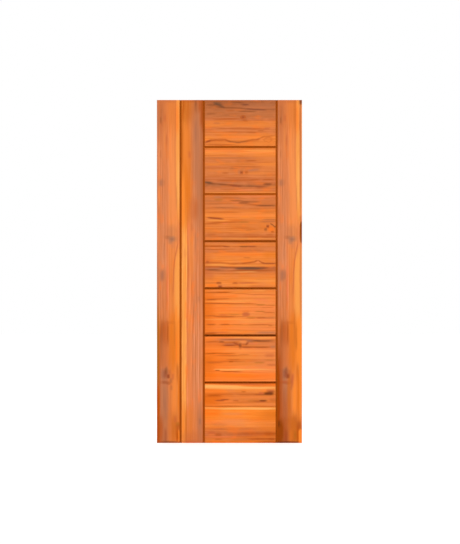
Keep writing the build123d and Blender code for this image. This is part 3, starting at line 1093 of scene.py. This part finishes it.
def paint_joint_shade(tree, colour, node_name):
    """Painted shade: darker wood down in the V-joints, deepening below the face. The leaf's own edges
    stay clear.
    """
    x, y, z = object_place(tree)
    sunk = smooth_step((abs(y) * -1.0 + leaf_high.y) / MM, 0.0, JOINT_SHADE_FULL_AT)
    for field, start, finish, clear in (
        (x, leaf_low.x, leaf_high.x, SIDE_CLEAR * MM),
        (z, leaf_low.z, leaf_high.z, END_CLEAR * MM),
    ):
        sunk = sunk * calculate(tree, "GREATER_THAN", field, start + clear)
        sunk = sunk * calculate(tree, "LESS_THAN", field, finish - clear)
    joint_shade = linear("joint_shade")
    if "stile" not in node_name:
        left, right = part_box("middle_stile")[1].x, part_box("right_stile")[0].x
        off_middle = abs(x - (left + right) / 2) / ((right - left) / 2)
        at_end = smooth_step(off_middle, 1.0 - BOARD_END, 1.0 - BOARD_END / 2)
        joint_shade = blend(tree, band_colours(tree, z / MM, BOARD_JOINT_SHADE), linear("joint_shade"), at_end)
    return blend(tree, colour, joint_shade, sunk * JOINT_SHADE_SHARE)


def finish_surface(tree, colour, fibre, pores):
    """A satin oiled surface with open pores along the grain."""
    shader = tree.nodes.new("ShaderNodeBsdfPrincipled")
    plug(tree, colour, shader.inputs["Base Color"])
    roughness = (fibre - NOISE_MIDDLE) * ROUGHNESS_SPREAD + ROUGHNESS
    plug(tree, roughness, shader.inputs["Roughness"])
    shader.inputs["Specular IOR Level"].default_value = SPECULAR_LEVEL
    bump = tree.nodes.new("ShaderNodeBump")
    bump.inputs["Strength"].default_value = PORE_BUMP
    bump.inputs["Distance"].default_value = PORE_DEPTH * MM
    plug(tree, pores, bump.inputs["Height"])
    plug(tree, bump.outputs[0], shader.inputs["Normal"])
    output = tree.nodes.new("ShaderNodeOutputMaterial")
    plug(tree, shader.outputs[0], output.inputs["Surface"])


def teak(node_name, wood):
    """The material of one piece of the leaf.

    Nodes are made after the nodes that feed them, and both places of a mark come from a noise in the
    parted grain. A value that needs no such noise would be worked out for every mark before the first
    is laid, and a hundred of them overfill the shader's stack.
    """
    material = bpy.data.materials.new("teak_" + node_name)
    material.use_nodes = True
    tree = material.node_tree
    tree.nodes.clear()
    space = grain_space(tree, node_name)
    parted_space = part_grain(space, wood)
    ripple = noise(parted_space, wood.seed, RIPPLE) - NOISE_MIDDLE
    fibre = noise(parted_space, wood.seed, FIBRE)
    colour = plain_wood(tree, node_name, wood, space, parted_space, fibre)
    mark_along = space[0] + ripple * MARK_SLIP
    mark_across = space[1] + ripple * MARK_WANDER
    colour = lay_marks(tree, colour, wood, mark_along, mark_across, fibre)
    colour = lay_knots(tree, colour, wood, space, mark_across)
    colour = end_grain(tree, colour, node_name)
    colour = paint_joint_shade(tree, colour, node_name)
    finish_surface(tree, colour, fibre, noise(space, wood.seed, PORES))
    return material


def dress_nodes():
    """Gives each CAD node its own wood. The loose tongues between boards share the stile tongue's."""
    for name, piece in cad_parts.items():
        wood = WOODS.get(name, WOODS["stile_tongue"])
        piece.data.materials.clear()
        piece.data.materials.append(teak(name, wood))


def seen_directly(tree):
    """1 for rays from the camera, mirrors and glass, and 0 for the rays that light the object."""
    path = tree.nodes.new("ShaderNodeLightPath")
    seen = Field(tree, path.outputs["Is Camera Ray"]) + Field(tree, path.outputs["Is Glossy Ray"])
    return calculate(tree, "MINIMUM", seen + Field(tree, path.outputs["Is Transmission Ray"]), 1.0)


def make_world():
    """White where it is seen, and an even soft light elsewhere."""
    world = bpy.data.worlds.new("studio")
    world.use_nodes = True
    tree = world.node_tree
    background = tree.nodes["Background"]
    background.inputs["Color"].default_value = WHITE
    plug(tree, seen_directly(tree) * (1.0 - AMBIENT) + AMBIENT, background.inputs["Strength"])
    bpy.context.scene.world = world


def make_floor():
    """A pale floor at the leaf's foot, which keeps the leaf's shadow."""
    reach = FLOOR_REACH
    corners = [(-reach, -reach, 0), (reach, -reach, 0), (reach, reach, 0), (-reach, reach, 0)]
    mesh = bpy.data.meshes.new("floor")
    mesh.from_pydata(corners, [], [(0, 1, 2, 3)])
    floor = bpy.data.objects.new("floor", mesh)
    bpy.context.scene.collection.objects.link(floor)
    material = bpy.data.materials.new("pale_floor")
    material.use_nodes = True
    tree = material.node_tree
    shader = tree.nodes["Principled BSDF"]
    shader.inputs["Base Color"].default_value = FLOOR_COLOUR
    shader.inputs["Roughness"].default_value = FLOOR_ROUGHNESS
    shader.inputs["Specular IOR Level"].default_value = 0.0
    shader.inputs["Emission Color"].default_value = WHITE
    away = tree.nodes.new("ShaderNodeVectorMath")
    away.operation = "DISTANCE"
    tree.links.new(tree.nodes.new("ShaderNodeTexCoord").outputs["Object"], away.inputs[0])
    away.inputs[1].default_value = (leaf_centre.x, leaf_centre.y, 0.0)
    far = smooth_step(Field(tree, away.outputs["Value"]), FLOOR_NEAR, FLOOR_FAR)
    glow = far * (FLOOR_GLOW_FAR - FLOOR_GLOW_NEAR) + FLOOR_GLOW_NEAR
    plug(tree, seen_directly(tree) * glow, shader.inputs["Emission Strength"])
    mesh.materials.append(material)


def make_lamp(name, place, aim, strength):
    """A broad soft light from one side, even over the whole leaf."""
    data = bpy.data.lights.new(name, "SUN")
    data.angle = math.radians(LAMP_SPREAD)
    data.energy = strength
    lamp = bpy.data.objects.new(name, data)
    lamp.location = place
    lamp.rotation_euler = (Vector(aim) - Vector(place)).to_track_quat("-Z", "Y").to_euler()
    bpy.context.scene.collection.objects.link(lamp)


def make_camera(low, high):
    """A long lens square on to the outside face, framed as in the photograph."""
    metres_per_pixel = (high.z - low.z) / DOOR_HEIGHT_IN_IMAGE
    centre = (low + high) / 2
    right = (IMAGE_CENTRE[0] - DOOR_CENTRE_IN_IMAGE[0]) * metres_per_pixel
    down = (IMAGE_CENTRE[1] - DOOR_CENTRE_IN_IMAGE[1]) * metres_per_pixel
    distance = IMAGE_HEIGHT * metres_per_pixel * LENS / SENSOR
    data = bpy.data.cameras.new("camera")
    data.lens = LENS
    data.sensor_width = SENSOR
    camera = bpy.data.objects.new("camera", data)
    camera.location = (centre.x + right, low.y - distance, centre.z - down)
    camera.rotation_euler = (math.radians(90), 0, 0)
    bpy.context.scene.collection.objects.link(camera)
    bpy.context.scene.camera = camera


WOOD_MARK = make_mark_group()
WOOD_KNOT = make_knot_group()
GRAIN_BEND = make_bend_group()

dress_nodes()
make_floor()
make_world()
make_lamp("key", (leaf_centre.x, -LAMP_DISTANCE, LAMP_HEIGHT), leaf_centre, KEY_STRENGTH)
make_lamp("back", (leaf_centre.x, LAMP_DISTANCE, LAMP_HEIGHT), leaf_centre, BACK_STRENGTH)
make_camera(leaf_low, leaf_high)
bpy.context.scene.view_settings.view_transform = "Standard"
